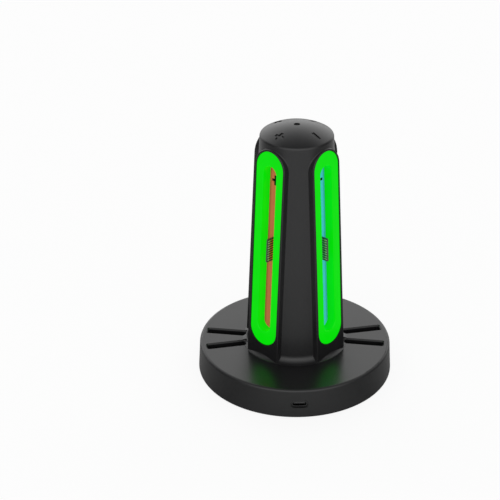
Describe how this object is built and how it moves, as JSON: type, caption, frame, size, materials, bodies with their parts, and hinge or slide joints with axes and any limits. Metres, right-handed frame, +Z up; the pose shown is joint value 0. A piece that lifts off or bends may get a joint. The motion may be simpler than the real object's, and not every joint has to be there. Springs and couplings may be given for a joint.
{
  "type": "controller charging dock",
  "caption": "Round-based desk dock with a tapered tower; lit upright grooves hold and charge handheld game controllers, and slots in the base store game cards.",
  "frame": {"origin": "centre of the base on the surface that the rubber feet stand on", "axes": "+Z up along the tower, -Y out of the power port at the front, +X to the right seen from the front"},
  "size_m": [0.118, 0.118, 0.1611],
  "materials": {
    "shell_plastic": "fine matte black moulded plastic",
    "smoked_lens": "smoked clear plastic, nearly black",
    "screw_steel": "zinc plated steel",
    "circuit_board": "green solder mask",
    "chip_plastic": "moulded chip bodies",
    "socket_plastic": "natural nylon",
    "port_metal": "stamped shell with a dark plating",
    "port_plastic": "grey moulded insert",
    "foot_rubber": "soft black rubber pad",
    "light_guide": "translucent light guide, lit green",
    "rail_orange": "orange plastic strip",
    "rail_blue": "light blue plastic strip",
    "tongue_plastic": "dark grey moulded blade",
    "gilt_contact": "gold plated contact strips",
    "led_package": "white lamp bodies",
    "lead_ribbon": "grey flat ribbon"
  },
  "bodies": {
    "root": {"base_cover": "shell_plastic", "base_plate": "shell_plastic", "tower_shell": "shell_plastic", "top_cap": "shell_plastic", "indicator_lens": "smoked_lens", "base_screws": "screw_steel", "tower_screws": "screw_steel", "main_board": "circuit_board", "board_parts": "chip_plastic", "lead_sockets": "socket_plastic", "power_port_shell": "port_metal", "power_port_tongue": "port_plastic", "foot_front_left": "foot_rubber", "light_ring_front_left": "light_guide", "rail_floor_front_left": "rail_orange", "contact_tongue_front_left": "tongue_plastic", "contact_pins_front_left": "gilt_contact", "station_board_front_left": "circuit_board", "station_leds_front_left": "led_package", "station_lead_front_left": "lead_ribbon", "foot_front_right": "foot_rubber", "light_ring_front_right": "light_guide", "rail_floor_front_right": "rail_blue", "contact_tongue_front_right": "tongue_plastic", "contact_pins_front_right": "gilt_contact", "station_board_front_right": "circuit_board", "station_leds_front_right": "led_package", "station_lead_front_right": "lead_ribbon", "foot_back_left": "foot_rubber", "light_ring_back_left": "light_guide", "rail_floor_back_left": "rail_orange", "contact_tongue_back_left": "tongue_plastic", "contact_pins_back_left": "gilt_contact", "station_board_back_left": "circuit_board", "station_leds_back_left": "led_package", "station_lead_back_left": "lead_ribbon", "foot_back_right": "foot_rubber", "light_ring_back_right": "light_guide", "rail_floor_back_right": "rail_blue", "contact_tongue_back_right": "tongue_plastic", "contact_pins_back_right": "gilt_contact", "station_board_back_right": "circuit_board", "station_leds_back_right": "led_package", "station_lead_back_right": "lead_ribbon"}
  },
  "joints": []
}
